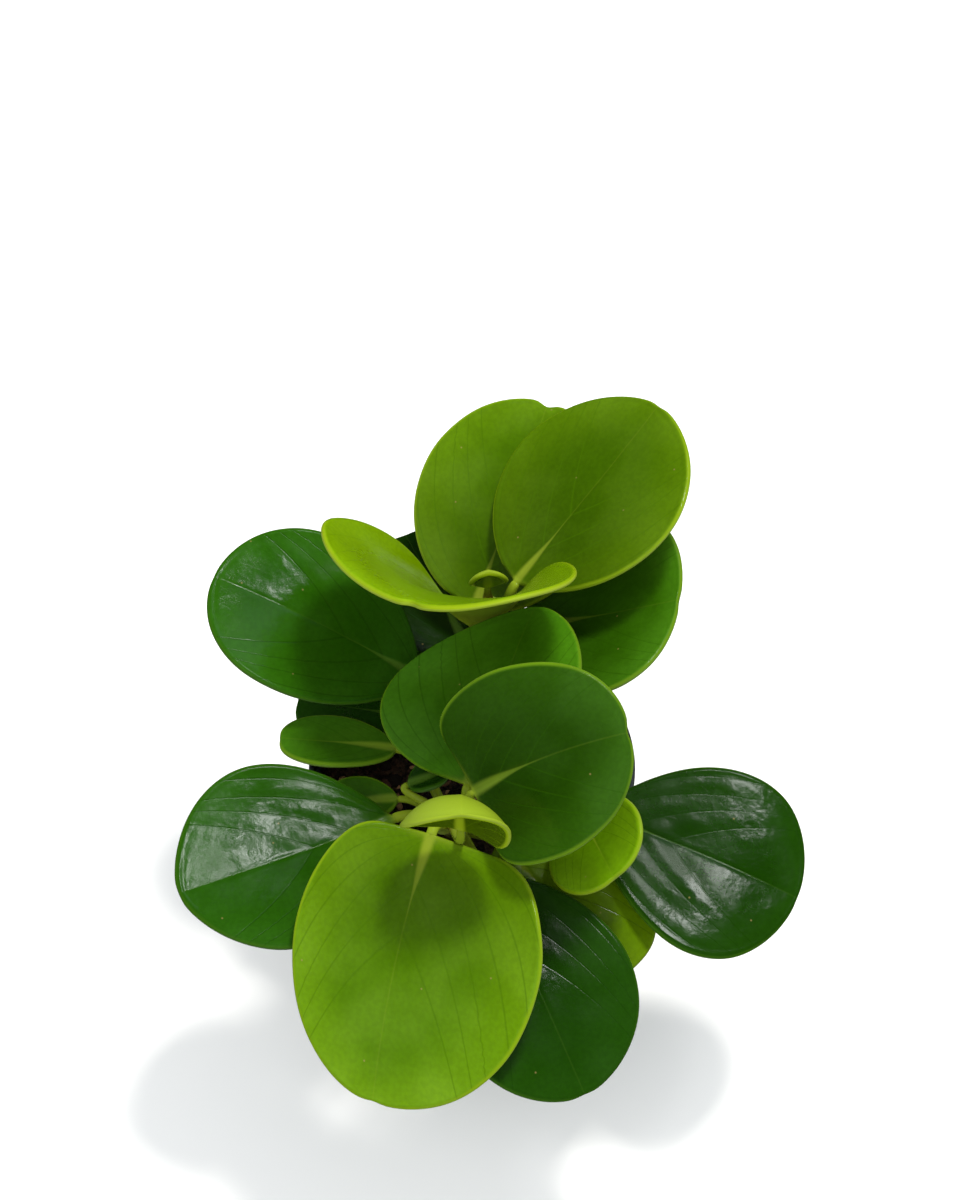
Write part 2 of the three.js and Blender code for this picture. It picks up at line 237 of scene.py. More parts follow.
# %% [markdown]
# ## The leaves, as numbers
# A leaf is described the way that a grower would: which stem it sits on and how high, where its
# stalk meets the blade, which way the blade heads and climbs, how it rolls and cups, and how long
# and wide it is. The same few numbers give the outline: wedge says how slowly the base widens, and
# blunt how round the tip is. Lobe pushes the corners of the base back beside the stalk, notch dents the
# tip, and crease folds the blade along its midrib. Tone scales the green of the upper face: on most
# leaves it says how pale the green is for the leaf's age, and on four it is painted light and painted
# shade, as noted at each of them. Curl and ease say where along the blade the bend and the cup change.
# Sway, skew and shear make its two halves differ. Writing all twenty as one chart makes it easy to
# nudge one leaf.

# %% The leaf chart
@dataclass
class Leaf:
    stem: str
    start: float
    seat: tuple
    heading: float
    pitch: float
    bend: float
    roll: float
    cup: tuple
    length: float
    width: float
    wedge: float
    blunt: float
    finish: str
    skew: float = 0
    sway: float = 0
    twist: float = 0
    curl: float = 1
    shear: float = 0
    ease: float = 1
    lobe: float = 0
    notch: float = 0.5
    crease: float = 0.2
    # tone scales the upper face's green; on four leaves it is painted light and painted shade
    tone: float = 1


LEAVES = {
    "crown_right": Leaf(
        "back", 117, (14, 41, 133), 45, 24, 6, -19, (11, 0), 73, 75, 0.24, 1.15, "bright",
        tone=0.76,
    ),
    "crown_back": Leaf(
        "back", 105, (1, 46, 113), 68, 25, 4, -3, (24, 12), 73, 65, 0, 0.95, "bright",
        notch=1.6, tone=0.9,
    ),
    "crown_front": Leaf(
        "back", 109, (-0.5, 39, 116), -140, 60, -29, 22, (200, 32), 73, 94, 0.47, 0.77, "lime",
        skew=0.03, sway=22, twist=-9, curl=3, shear=-0.1, ease=3, notch=1.6, crease=0.1, tone=1,
    ),
    "crown_bud": Leaf(
        "back", 120, (5, 44, 127), 95, 80, 60, 0, (50, 60), 15, 14, 0.2, 0.9, "lime",
        tone=1.15,
    ),
    "mid_right": Leaf(
        "back", 102, (22, 36, 117), -13, 28, -1, 3, (7, 20), 49, 66, 0.3, 0.82, "mid",
        sway=3, lobe=12.5, tone=1.05,
    ),
    # The low left leaf's tone of 1.75 is painted light: it brightens the leaf against the shadow that the
    # crown front leaf casts on it.
    "low_left": Leaf(
        "back", 92, (-17, 26, 101), 163, 31, -17, -7, (17, 15), 75, 59, 0.5, 1.05, "dark",
        notch=0.2, crease=0.3, tone=1.75,
    ),
    # The low back leaf's tone of 0.5 is painted shade: it darkens the leaf to the deep shade of the gap
    # that it fills.
    "low_back": Leaf(
        "back", 92, (-2, 43, 96), 116, 8, -6, 0, (12, 8), 49, 57, -0.2, 1, "dark",
        tone=0.5,
    ),
    "under_left": Leaf("back", 86, (-14, 16, 92), 172, 4, -2, 0, (12, 8), 44, 38, 0.1, 1, "dark"),
    # The inner back leaf's tone of 1.45 is painted light: it brightens the leaf against the shade that
    # falls on it.
    "inner_back": Leaf(
        "front", 110, (-1, -30, 126), 71, 19, -27, -25, (14, -2), 67, 68, -0.07, 1.29, "mid",
        skew=0.2, tone=1.45,
    ),
    "inner_right": Leaf(
        "front", 112, (1, -39, 137), 4, 47, -31, 31, (28, 4), 53, 58, -0.45, 0.85, "mid",
        lobe=2.5, notch=0.9, crease=0.3, tone=0.63,
    ),
    "front": Leaf(
        "front", 107, (-12, -46, 124), -109, -18, -6, -5, (25, 8), 79, 75, -0.25, 0.98, "bright",
        skew=0.16, sway=8, lobe=3, tone=1.15,
    ),
    # The hood's tone of 0.45 is painted shade: it darkens its upper face, the inside of the curl, where
    # shade falls.
    "hood": Leaf(
        "front", 116, (-3, -50, 134), 92, 74, 91, -22, (78, 69), 37, 40, -0.3, 0.7, "lime",
        twist=20, curl=1.2, tone=0.45,
    ),
    "left": Leaf(
        "front", 97, (-24, -27, 102), -153, 5, 6, -8, (22, 17), 72, 63, 0.6, 1.35, "dark",
        crease=0.3, tone=1.5,
    ),
    "low_front": Leaf(
        "front", 97, (3, -48, 106), -65, -6, -17, -5, (19, 7), 74, 59, 0.53, 1.15, "dark",
        crease=0.3, tone=0.95,
    ),
    "under_right": Leaf(
        "front", 89, (8, -33, 97), -48, -1, -20, 0, (16, 8), 57, 47, 0.3, 0.6, "olive",
        tone=1.9,
    ),
    "small_left": Leaf("front", 90, (-24, 1, 98), 180, 11, -4, 6, (27, 8), 38, 21, 0.16, 0.9, "mid"),
    "shoot_left": Leaf("front", 92, (-23, -17, 97), 184, 0, 0, 0, (20, 10), 24, 18, 0.3, 1, "mid"),
    "shoot_back": Leaf("front", 103, (-20, -18, 107), 10, 20, 0, 0, (50, 40), 14, 12, 0.2, 1, "dark"),
    "right": Leaf(
        "right", 94, (37, -25, 102), -22, 1, -17, 9, (8, 0), 69, 62, 0.7, 1.05, "dark",
        notch=0.2, crease=0.45, tone=0.85,
    ),
    "small_right": Leaf(
        "right", 102, (32, -25, 108), -72, 18, -2, 33, (22, 19), 36, 34, 0.3, 0.8, "bright",
        tone=1.5,
    ),
}
print("leaves:", len(LEAVES))

# %% [markdown]
# ## How a blade curves
# The midrib starts at the seat and climbs at its pitch, which changes along the blade. Across the
# midrib the blade is bent into part of a circle, so both sides curl up evenly and the blade keeps its
# real width. A point of the flat blade is given by its share along the midrib, its millimetres to the
# side and how far it lifts off the middle of the blade's thickness.

# %% From the flat blade to the real one
class Midrib:
    """Follows one leaf's midrib from its seat to its tip in small steps."""

    STEPS = 160

    def __init__(self, leaf):
        self.leaf = leaf
        heading = math.radians(leaf.heading)
        self.ahead = Vector((math.cos(heading), math.sin(heading), 0))
        self.level = Vector((-math.sin(heading), math.cos(heading), 0))
        self.points = [Vector(leaf.seat)]
        for step in range(self.STEPS):
            pitch = self.pitch((step + 0.5) / self.STEPS)
            self.points.append(self.points[-1] + self.direction(pitch) * (leaf.length / self.STEPS))

    def pitch(self, u):
        return math.radians(self.leaf.pitch + self.leaf.bend * max(0, u) ** self.leaf.curl)

    def direction(self, pitch):
        return self.ahead * math.cos(pitch) + Vector((0, 0, math.sin(pitch)))

    def at(self, u):
        """The midrib's point, its side direction and its upward normal."""
        place = max(u, 0) * self.STEPS
        step = min(int(place), self.STEPS - 1)
        point = self.points[step].lerp(self.points[step + 1], place - step)
        pitch = self.pitch(u)
        face = Vector((0, 0, math.cos(pitch))) - self.ahead * math.sin(pitch)
        roll = math.radians(self.leaf.roll + self.leaf.twist * u)
        side = self.level * math.cos(roll) + face * math.sin(roll)
        normal = face * math.cos(roll) - self.level * math.sin(roll)
        return point, side, normal


def on_blade(leaf, midrib, u, across, lift):
    point, side, normal = midrib.at(u)
    cup = mix(leaf.cup[1], leaf.cup[0], (1 - min(1, max(0, u))) ** leaf.ease)
    curve = math.radians(cup) / (leaf.width / 2) + 1e-6
    angle = curve * (across + leaf.sway * u * u)
    return (
        point
        + side * math.sin(angle) * (1 / curve - lift)
        + normal * ((1 - math.cos(angle)) / curve + math.cos(angle) * lift)
    )


front_rib = Midrib(LEAVES["front"])
print("tip of the front leaf:", [round(c) for c in on_blade(LEAVES["front"], front_rib, 1, 0, 0)])

# %% [markdown]
# ## The blade's outline and relief
# A peperomia's leaf is as thick as a coin. Its margin is a rounded bead with a fine groove just inside
# it, the blade folds a little along the midrib, and there is a rounded rib below. The veins leave the
# midrib near the base and sweep forwards in long arcs, and the tissue between them swells, most of all
# in old leaves. All of that is real shape here, because the shine breaks along it.

# %% Outline and relief of a blade
THICK = 1.7
MARGIN_ROUND = 0.85
GROWN = 60
BEAD = {"height": 0.13, "inward": 1.1, "spread": 0.6}
MOAT = {"depth": 0.12, "inward": 2.6, "spread": 0.8}
ROLLED = {"depth": 0.35, "spread": 1.3}
SWELL = {"height": 0.3, "size": 19, "fine_height": 0.1, "finer": 2.6}
CHANNEL = {"depth": 0.22, "spread": 0.7}
RIB = {"height": 1.15, "spread": 1.9}
VEIN_GAP = 0.19
VEIN_BOW = 1.15
VEIN_REACH = 0.54
QUILT = {"lime": 0.03, "bright": 0.05, "mid": 0.08, "olive": 0.12, "dark": 0.28}


def half_width(leaf, a):
    """Half the blade's width at the angle a, 0 at its base and a right angle at its tip."""
    rise, fall = 1 + leaf.wedge, leaf.blunt
    total = rise + fall
    peak = (rise / total) ** (rise / 2) * (fall / total) ** (fall / 2)
    return leaf.width / 2 * math.sin(a) ** rise * max(0, math.cos(a)) ** fall / peak


def slope(leaf, a):
    """How fast the half width changes along the midrib."""
    low, high = max(a - 0.01, 0.001), min(a + 0.01, math.pi / 2 - 0.001)
    run = leaf.length * (math.sin(high) ** 2 - math.sin(low) ** 2)
    return (half_width(leaf, high) - half_width(leaf, low)) / run


def vein_place(leaf, along, across):
    """A whole number on each vein. From 0 up they leave the midrib, and below 0 the blade's base."""
    limit = VEIN_REACH * leaf.width * (1 + leaf.skew * math.copysign(1, across))
    bow = -VEIN_BOW * limit * math.log(1 - min(0.97, abs(across) / limit))
    if along >= bow:
        return (along - bow) / (VEIN_GAP * leaf.length)
    return -1.3 * math.log2(bow / max(along, 0.5))


def relief(leaf, number, u, width, across, inward):
    """How far the upper and the lower face stand off the middle of the blade."""
    along = u * leaf.length
    size = min(1, leaf.length / GROWN)

    # The margin: a rounded edge, a bead with a fine groove inside it, and an edge that is rolled down.
    round_off = 1 - min(1, inward / MARGIN_ROUND)
    half_thick = THICK / 2 * math.sqrt(max(0, 1 - round_off ** 2))
    bead = BEAD["height"] * bell(inward - BEAD["inward"], BEAD["spread"])
    bead -= MOAT["depth"] * bell(inward - MOAT["inward"], MOAT["spread"])
    rolled = -ROLLED["depth"] * bell(inward, ROLLED["spread"])

    # Swellings, and a quilt pressed in along the veins. Both fade out at the margin, the quilt also
    # beyond the third vein of the midrib and the third of the base. Then the fold, sharp at the midrib.
    fade = smooth_step(inward, 0.5, 9 * size)
    spot = Vector((along / SWELL["size"], across / SWELL["size"], number * 3.7))
    swell = SWELL["height"] * noise.noise(spot) + SWELL["fine_height"] * noise.noise(spot * SWELL["finer"])
    place = vein_place(leaf, along, across)
    near = 1 - 2 * abs(place - round(place))
    within = smooth_step(place, 3.2, 2) * smooth_step(place, -3, -1)
    quilt = -QUILT[leaf.finish] * size * near ** 1.6 * fade * within
    share = abs(across) / width
    fold = leaf.crease * 4 * (math.sqrt(share ** 2 + 0.0004) - share ** 2) * width / (leaf.width / 2)
    shift = swell * fade + quilt + fold + rolled * size

    # The channel over the midrib and the rib below it both thin out towards the tip.
    groove = CHANNEL["depth"] * size * bell(across, CHANNEL["spread"]) * (1 - u) ** 0.4
    rib = RIB["height"] * size * bell(across, RIB["spread"] * size) * (1 - u) ** 1.3
    return shift + half_thick + bead * size - groove, shift - half_thick - 0.5 * bead * size - rib


top, bottom = relief(LEAVES["front"], 1, 0.5, LEAVES["front"].width / 2, 0, 30)
print("thickness at the middle:", round(top - bottom, 2), "mm")

# %% [markdown]
# ## One skin from stem to tip
# A blade and its stalk are one growth, so they are made as one skin: rings of points run out along the
# stalk as circles, and change into the thin section of the blade over its first few millimetres. More
# rings sit near the blade's base and tip, and more points near its margin and midrib, where the shape
# is finest.
# Modelling blade and stalk apart would leave a seam just where the eye looks for the growth to flow.

# %% Rings and quads
MARGIN_LOOPS = (0, 0.12, 0.35, 0.7, 1.15, 1.7, 2.4, 3.3)
MIDRIB_LOOPS = (0.45, 1.0, 1.8)
PLAIN_LOOPS = 10
BLADE_ROWS = (26, 64)
FLARE = 0.13
STALK_ROWS = 16


def side_loops(width):
    """Distances from the midrib out to a margin that is this far away, finest at both ends."""
    fit = min(1, width / 9)
    inner = [loop * fit for loop in MIDRIB_LOOPS]
    outer = [width - loop * fit for loop in reversed(MARGIN_LOOPS)]
    spread = [mix(inner[-1], outer[0], (i + 1) / (PLAIN_LOOPS + 1)) for i in range(PLAIN_LOOPS)]
    return inner + spread + outer


def ring_places(width, left, right):
    """Signed distances across one ring: along the lower face to the right, and back along the upper."""
    loops = side_loops(width)
    row = [-x * left for x in reversed(loops)] + [0] + [x * right for x in loops]
    return row, row[::-1][1:-1]


RING_SIZE = sum(len(part) for part in ring_places(20, 1, 1))


def skin(rings):
    """Quads over a row of rings. Both ends are closed with quads across from face to face."""
    count = len(rings[0])
    faces = []
    for ring in range(len(rings) - 1):
        for k in range(count):
            near, far = ring * count, (ring + 1) * count
            faces.append((near + k, near + (k + 1) % count, far + (k + 1) % count, far + k))
    for ring, flip in ((0, True), (len(rings) - 1, False)):
        for k in range(count // 2):
            first = ring * count
            quad = [first + k, first + k + 1, first + (count - k - 1) % count, first + (count - k) % count]
            quad = list(dict.fromkeys(quad))
            if len(quad) > 2:
                faces.append(tuple(reversed(quad)) if flip else tuple(quad))
    return faces


print("points in a ring:", RING_SIZE)

# %% [markdown]
# ## The stalk
# The stalk leaves the stem sideways, rises, and comes up to the blade from below along the midrib. A
# plain curve with two handles does that. It is thickest at the stem, where it ends in a small collar,
# and a channel runs along its upper side. Its rings are made from the blade back to the stem, and the
# frame of each ring is carried on from the one before, so that the skin doesn't twist.

# %% Shape a stalk
STALK = {"stem_radius": 2.3, "blade_radius": 1.6, "out": 0.45, "rise": 0.2, "arrive": 0.3, "channel": 0.22}
COLLAR = {"swell": 0.3, "length": 2.2}
SUNK = 0.8
PLAIN_MARGIN = 9
TURNS = [math.pi + 2 * math.pi * k / RING_SIZE for k in range(RING_SIZE)]
UNIT_RING = [(math.cos(turn), math.sin(turn)) for turn in TURNS]


def stalk_curve(leaf):
    start, seat = stem_point(leaf.stem, leaf.start), Vector(leaf.seat)
    reach = (seat - start).length
    outward = Vector((seat.x - start.x, seat.y - start.y, 0)).normalized()
    heading, pitch = math.radians(leaf.heading), math.radians(leaf.pitch)
    along = Vector(
        (math.cos(heading) * math.cos(pitch), math.sin(heading) * math.cos(pitch), math.sin(pitch))
    )
    leave = start + outward * STALK["out"] * reach + Vector((0, 0, STALK["rise"] * reach))
    arrive = seat - along * STALK["arrive"] * reach
    return lambda t: (
        start * (1 - t) ** 3 + leave * 3 * t * (1 - t) ** 2 + arrive * 3 * t * t * (1 - t) + seat * t ** 3
    )


def stalk_rings(leaf, midrib, size):
    """Rings from the stem to the seat, and each point's facts in the order that leaf_rings gives."""
    curve = stalk_curve(leaf)
    _, side, normal = midrib.at(0)
    start = stem_point(leaf.stem, leaf.start)
    sunk = stem_radius(leaf.stem, leaf.start) - SUNK
    first = next(i for i in range(101) if (curve(i / 100) - start).length > sunk) / 100
    length = (curve(1) - start).length
    direction = (curve(1) - curve(0.98)).normalized()
    rings, marks = [], []
    for i in reversed(range(STALK_ROWS)):
        t = mix(first, 1, i / STALK_ROWS)
        turned = (curve(t + 0.01) - curve(t - 0.01 if t > first else t)).normalized()
        bend = direction.rotation_difference(turned)
        side, normal, direction = bend @ side, bend @ normal, turned
        radius = size * mix(STALK["stem_radius"], STALK["blade_radius"], t)
        radius *= 1 + COLLAR["swell"] * bell((t - first) * length, COLLAR["length"])
        channel = STALK["channel"] * smooth_step(t, 0.3, 1)
        ring, info = [], []
        for c, s in UNIT_RING:
            dent = channel * radius * max(0, s) ** 2
            ring.append(curve(t) + side * c * radius + normal * (s * radius - dent))
            face = 1 if s > 0 else 0
            info.append((-(1 - t) * length, c * radius, PLAIN_MARGIN, face, 1, (t - first) * length, 0.5))
        rings.insert(0, ring)
        marks.insert(0, info)
    return rings, marks


print("points in a stalk:", STALK_ROWS * RING_SIZE)

# %% [markdown]
# ## The blade
# The first ring of the blade is still the stalk's circle. Over the next rings it is blended into the
# blade's own section: the lower face from the left margin to the right one, and the upper face back.
# The circle is flatter on its upper side there, and drops away below as the blade takes over. A leaf's
# two halves are never quite the same, so a little unevenness goes into each margin as well.

# %% Shape a blade
UNEVEN = 0.012
LOBE = {"angle": 0.32, "spread": 0.2, "power": 1.6}
NOTCH = {"spread": 3, "from": 0.93}
SEAT = {"flatness": 0.78, "drop": 5}
FULL_SIZE = 70
YOUNG_SHARE = 0.55
FAR_OFF = 99


def blade_rings(leaf, midrib, size, number):
    """Rings from the seat to the tip, and each point's facts in the order that leaf_rings gives."""
    rings, marks = [], []
    rows = round(mix(*BLADE_ROWS, min(1, leaf.length / FULL_SIZE)))
    for row in range(rows):
        a = max(row, 0.25) / rows * math.pi / 2
        u = math.sin(a) ** 2
        width = max(half_width(leaf, a), 0.2)
        steep = math.sqrt(1 + slope(leaf, a) ** 2)
        spread = smooth_step(row / rows, -0.01, FLARE)
        left, right = (
            (1 + sign * leaf.skew) * (1 + UNEVEN * noise.noise(Vector((a * 4, number, sign))))
            for sign in (-1, 1)
        )
        lower, upper = ring_places(width, left, right)
        ring, info = [], []
        for k, across in enumerate(lower + upper):
            stretch = left if across < 0 else right
            share = abs(across) / stretch / width
            inward = width * (1 - share) / steep
            back = leaf.lobe * bell(a - LOBE["angle"], LOBE["spread"]) * share ** LOBE["power"]
            dent = leaf.notch * bell(across, NOTCH["spread"]) * smooth_step(u, NOTCH["from"], 1)
            slide = leaf.shear * across * math.sqrt(math.sin(math.pi * u))
            here = u + (slide - back - dent) / leaf.length
            top, bottom = relief(leaf, number, u, width, across, inward)
            lift = bottom if k < len(lower) else top
            if k in (0, len(lower) - 1):
                lift = (top + bottom) / 2
            c, s = UNIT_RING[k]
            radius = size * STALK["blade_radius"]
            place = vein_place(leaf, leaf.length * u, across)
            margin = mix(PLAIN_MARGIN, inward, spread)
            across = mix(c * radius, across, spread)
            stalk_lift = s * radius * (SEAT["flatness"] if s > 0 else 1) - SEAT["drop"] * u
            lift = mix(stalk_lift, lift, spread)
            behind = midrib.direction(midrib.pitch(0)) * min(0, here) * leaf.length
            ring.append(on_blade(leaf, midrib, max(0, here), across, lift) + behind)
            face = 0 if k < len(lower) else 1
            info.append((leaf.length * u, across, margin, face, 1 - spread, FAR_OFF, place))
        rings.append(ring)
        marks.append(info)
    return rings, marks


def leaf_rings(leaf, number):
    """All rings from stem to tip. A point's facts are its place along and across the flat blade, its
    distance to the margin, its face, its share of stalk, its distance from the stem and its vein place."""
    midrib = Midrib(leaf)
    size = min(1, mix(YOUNG_SHARE, 1, leaf.length / FULL_SIZE))
    stalk, stalk_marks = stalk_rings(leaf, midrib, size)
    blade, blade_marks = blade_rings(leaf, midrib, size, number)
    return stalk + blade, stalk_marks + blade_marks


rings, _ = leaf_rings(LEAVES["front"], 1)
print("rings from stem to tip:", len(rings))

# %% [markdown]
# ## Making a mesh from rings
# The points become one mesh in metres, with each point's place on the flat blade kept as a map. Seven
# facts are kept with every point for the finishes: how far it lies from the margin, which face it is
# on, how much of it is stalk, how far along the stalk it is, where it lies between two veins, and its
# leaf's number and tone. On four leaves the tone is painted light and painted shade.

# %% Mesh builder
def build(name, points, faces, facts=None, flat=None):
    mesh = bpy.data.meshes.new(name)
    mesh.from_pydata([p * MM for p in points], [], faces)
    mesh.polygons.foreach_set("use_smooth", [True] * len(mesh.polygons))
    for key, values in (facts or {}).items():
        layer = mesh.attributes.new(key, "FLOAT", "POINT")
        layer.data.foreach_set("value", values)
    if flat:
        layer = mesh.uv_layers.new(name="flat")
        for loop in mesh.loops:
            layer.data[loop.index].uv = (flat[loop.vertex_index][0] * MM, flat[loop.vertex_index][1] * MM)
    mesh.update()
    made = bpy.data.objects.new(name, mesh)
    bpy.context.scene.collection.objects.link(made)
    return made


def make_leaf(name, leaf, number):
    rings, marks = leaf_rings(leaf, number)
    points = [p for ring in rings for p in ring]
    info = [m for ring in marks for m in ring]
    facts = {
        "margin_mm": [m[2] for m in info],
        "upper_face": [m[3] for m in info],
        "stalk": [m[4] for m in info],
        "from_stem_mm": [m[5] for m in info],
        "vein_place": [m[6] for m in info],
        "leaf_number": [number] * len(info),
        # On four leaves this tone is painted light and painted shade.
        "tone": [leaf.tone] * len(info),
    }
    made = build(name + "_leaf", points, skin(rings), facts, [m[:2] for m in info])
    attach(made, "root")
    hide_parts("leaf_" + name)
    return made


leaves = {name: make_leaf(name, leaf, i + 1) for i, (name, leaf) in enumerate(LEAVES.items())}
print("leaves made:", len(leaves), "with", sum(len(o.data.polygons) for o in leaves.values()), "faces")

# %% [markdown]
# ## What a leaf's finish follows
# A leaf's colour and shine change from point to point, so the patterns that they follow come first:
# the facts kept with every point, soft random clouds, and how far a point lies along and off the
# midrib, off the nearest vein and off the nearest corky speck. The clouds are as wide as a leaf's own
# patches, swellings and mottles. Its cells are far too fine to show, so their grain is drawn coarser.

# %% Patterns of a leaf
FACTS = ("margin_mm", "upper_face", "stalk", "from_stem_mm", "leaf_number", "vein_place", "tone")
CLOUDS = {"patch": (22, 2), "swell": (7, 2), "mottle": (1.4, 2), "cell": (1.1, 3)}
SPECKS_APART = 32
SPECK_EDGE = 0.013


def leaf_patterns(material):
    """The outputs to build on, by name. A cloud has a size in millimetres and a detail."""
    flat = add(material, "UVMap", uv_map="flat").outputs["UV"]
    point = {key: add(material, "Attribute", attribute_name=key).outputs["Fac"] for key in FACTS}
    for key, (size_mm, detail) in CLOUDS.items():
        inputs = {"Vector": flat, "W": point["leaf_number"], "Scale": per(size_mm), "Detail": detail}
        point[key] = add(material, "TexNoise", inputs, noise_dimensions="4D").outputs["Fac"]
    point["along"], across, _ = add(material, "SeparateXYZ", {0: flat}).outputs
    point["off_rib"] = add(material, "Math", {0: across}, operation="ABSOLUTE").outputs[0]
    inputs = {0: point["vein_place"], 1: 0.5}
    point["off_vein"] = add(material, "Math", inputs, operation="PINGPONG").outputs[0]
    own_place = add(material, "VectorMath", {0: flat, 1: point["leaf_number"]}, operation="ADD").outputs[0]
    inputs = {"Vector": own_place, "Scale": per(SPECKS_APART)}
    point["off_speck"] = add(material, "TexVoronoi", inputs, voronoi_dimensions="2D").outputs["Distance"]
    return point


print("patterns on a leaf:", len(FACTS) + len(CLOUDS) + 4)

# %% [markdown]
# ## How the colours spread over a leaf
# The tissue is lighter towards the margin and in patches. The green darkens towards the blade's base
# and is palest at the tip; the darkening is partly painted shade, for the shade under the leaves above.
# The thin bead of the margin is paler, partly because it has less green behind it and partly as painted
# light, for light shining through the thin edge. Its width wanders a little with the patches. The
# channel over the midrib is paler too: its band is 4 mm wide at the blade's base, and a hairline beyond
# the first third. Veins show as faint dark lines that fade out towards the tip. A few old scrapes
# have healed as corky specks under a millimetre wide, and the stalk is rusty where it leaves the stem.
# The wax is rougher in some patches than in others. Each of these is a smooth change from one value to
# another while a pattern runs between two limits, or is two such changes taken together.

# %% Shares of a leaf's colours
def add_shares(material, point, bead_mm, edge_glow):
    """Adds to the outputs by name how much of each colour a point has."""
    changes = {
        "towards_edge": ("margin_mm", 1, 22, edge_glow, 0),
        "patches": ("patch", 0.3, 0.7, 0, 0.4),
        "mottled": ("mottle", 0.3, 0.7, 0.93, 1.07),
        # Darker towards the blade's base: partly painted shade, for the shade under the leaves above.
        "tipwards": ("along", 2 * MM, 55 * MM, 0.72, 1.05),
        "speck": ("off_speck", 0.004, SPECK_EDGE, 0.5, 0),
        "vein_line": ("off_vein", 0.01, 0.06, 0.45, 0),
        "outer_veins": ("vein_place", 2, 3.2, 1, 0),
        "band_half": ("along", 2 * MM, 22 * MM, 2.1 * MM, 0.3 * MM),
        "band_fade": ("along", 3 * MM, 30 * MM, 0.85, 0.1),
        "rust": ("from_stem_mm", 0.5, 7, 0.75, 0),
        "rough": ("patch", 0.35, 0.65, 0.15, 0.24),
        "band_side": ("band_off", 0.3, 1.2, 1, 0),
        # The bead is partly painted light: the paler margin also stands for light shining through the thin
        # edge.
        "bead": ("wander", bead_mm, bead_mm + 1.1, 0.85, 0),
    }

    # Only the glow is a sum, and it is held to 1 at most.
    pairs = {
        "glow": ("ADD", "towards_edge", "patches"),
        # shade and depth carry the tone and the darkening towards the base, partly painted light and
        # painted shade
        "shade": ("MULTIPLY", "mottled", "tone"),
        "depth": ("MULTIPLY", "shade", "tipwards"),
        "vein": ("MULTIPLY", "vein_line", "outer_veins"),
        "band_off": ("DIVIDE", "off_rib", "band_half"),
        "band": ("MULTIPLY", "band_side", "band_fade"),
    }

    def make(key):
        """Makes one output, after the ones that it is worked out from."""
        if key in point:
            return point[key]
        if key in changes:
            source, *limits = changes[key]
            inputs = dict(enumerate((make(source), *limits)))
            made = add(material, "MapRange", inputs, interpolation_type="SMOOTHSTEP")
        else:
            way, first, second = pairs[key]
            made = add(material, "Math", {0: make(first), 1: make(second)}, operation=way)
            made.use_clamp = key == "glow"
        point[key] = made.outputs[0]
        return point[key]

    wander = {0: point["patch"], 1: 0.9, 2: point["margin_mm"]}
    point["wander"] = add(material, "Math", wander, operation="MULTIPLY_ADD").outputs[0]
    for key in (*changes, *pairs):
        make(key)
    depth = point["depth"]
    point["grey"] = add(material, "CombineColor", {0: depth, 1: depth, 2: depth}).outputs[0]


print("widest corky speck:", round(2 * SPECK_EDGE * SPECKS_APART, 2), "mm")

# %% [markdown]
# ## Finish: the leaf's waxed skin
# A peperomia's blade is living tissue under a clear waxy skin, the cuticle. The skin gives a soft,
# slightly uneven shine, and the tissue beneath gives a deep green that turns a little yellower towards
# the margin. The underside is paler and duller. Old leaves are nearly black green and young ones lime,
# so each age gets its own colours. One shader is built for all of them, because the tissue is the same
# kind at every age.

# %% Leaf finish
def waxed_leaf(name, deep, light, margin, rib, underside, bead_mm, edge_glow):
    material, leaf_skin = new_material(name)
    point = leaf_patterns(material)
    add_shares(material, point, bead_mm, edge_glow)

    # Each colour is laid over the one before by its share: on the upper face, the lower and the stalk.
    coats = []
    for start, layers in (
        (deep, (
            # The grey multiply is partly painted light and painted shade: the leaf's tone and the darkening
            # towards the base.
            (point["glow"], linear(light), "MIX"), (1, point["grey"], "MULTIPLY"),
            (point["speck"], linear("#8A7448"), "MIX"), (point["vein"], linear(deep), "MIX"),
            # On both faces the margin's bead colour is partly painted light, for light shining through the
            # thin edge.
            (point["band"], linear(rib), "MIX"), (point["bead"], linear(margin), "MIX"),
        )),
        (underside, ((point["band"], linear(rib), "MIX"), (point["bead"], linear(margin), "MIX"))),
        ("#75881C", ((point["rust"], linear("#5A3A18"), "MIX"),)),
    ):
        colour = linear(start)
        for share, over, way in layers:
            inputs = {0: share, 6: colour, 7: over}
            colour = add(material, "Mix", inputs, data_type="RGBA", blend_type=way).outputs[2]
        coats.append(colour)
    upper, lower, stalk = coats
    blade = {0: point["upper_face"], 6: lower, 7: upper}
    whole = {0: point["stalk"], 6: add(material, "Mix", blade, data_type="RGBA").outputs[2], 7: stalk}
    colour = add(material, "Mix", whole, data_type="RGBA").outputs[2]

    # The wax of the upper face shines. The cells under it, the swellings and the veins break the shine.
    rough = add(material, "Mix", {0: point["upper_face"], 2: 0.55, 3: point["rough"]}).outputs[0]
    bump = {}
    for key, height_mm, strength, pressed_in in (
        ("cell", 0.05, 0.7, False), ("swell", 0.4, 0.5, False), ("vein", 0.12, 0.5, True),
    ):
        inputs = {"Height": point[key], "Distance": height_mm * MM, "Strength": strength, **bump}
        bump = {"Normal": add(material, "Bump", inputs, invert=pressed_in).outputs[0]}
    plug(material, leaf_skin, {"Base Color": colour, "Roughness": rough, "IOR": 1.45, **bump})
    return material


